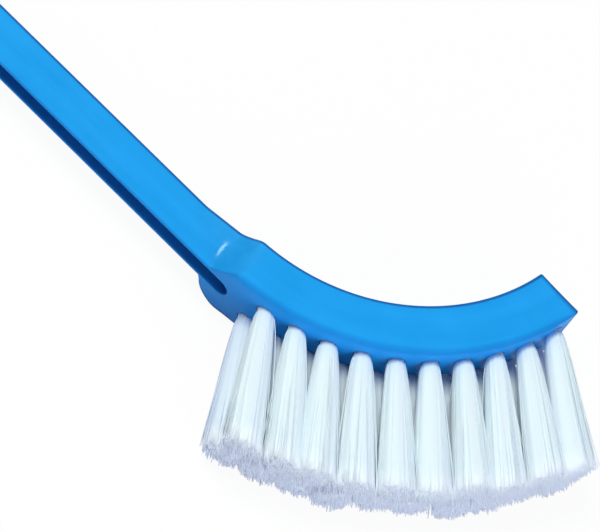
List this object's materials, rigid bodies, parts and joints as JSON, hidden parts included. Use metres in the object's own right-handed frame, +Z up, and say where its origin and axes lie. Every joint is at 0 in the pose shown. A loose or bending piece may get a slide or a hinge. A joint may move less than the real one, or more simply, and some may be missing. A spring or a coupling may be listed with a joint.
{
  "type": "toilet brush",
  "caption": "Hooked toilet brush lying on its side: a one-piece plastic handle and curved block, with white bristle tufts stapled into the convex face and a hang hole in the handle's end.",
  "frame": {"origin": "under the middle of the brush's box, on the surface that the brush lies on its side upon", "axes": "+X along the handle towards the head, +Y away from the bristles, +Z up across the width of the block"},
  "size_m": [0.3914, 0.1088, 0.028],
  "materials": {
    "body_plastic": "moulded blue polypropylene with a soft gloss",
    "bristle": "white crimp-free plastic filament, slightly translucent",
    "staple_steel": "flat tinned steel wire"
  },
  "bodies": {
    "root": {"brush_body": "body_plastic", "tufts_heel": "bristle", "tufts_mid_heel": "bristle", "tufts_mid_toe": "bristle", "tufts_toe": "bristle", "staple_lower_01": "staple_steel", "staple_upper_01": "staple_steel", "staple_lower_02": "staple_steel", "staple_upper_02": "staple_steel", "staple_lower_03": "staple_steel", "staple_upper_03": "staple_steel", "staple_lower_04": "staple_steel", "staple_upper_04": "staple_steel", "staple_lower_05": "staple_steel", "staple_upper_05": "staple_steel", "staple_lower_06": "staple_steel", "staple_upper_06": "staple_steel", "staple_lower_07": "staple_steel", "staple_upper_07": "staple_steel", "staple_lower_08": "staple_steel", "staple_upper_08": "staple_steel", "staple_lower_09": "staple_steel", "staple_upper_09": "staple_steel", "staple_lower_10": "staple_steel", "staple_upper_10": "staple_steel"}
  },
  "joints": []
}
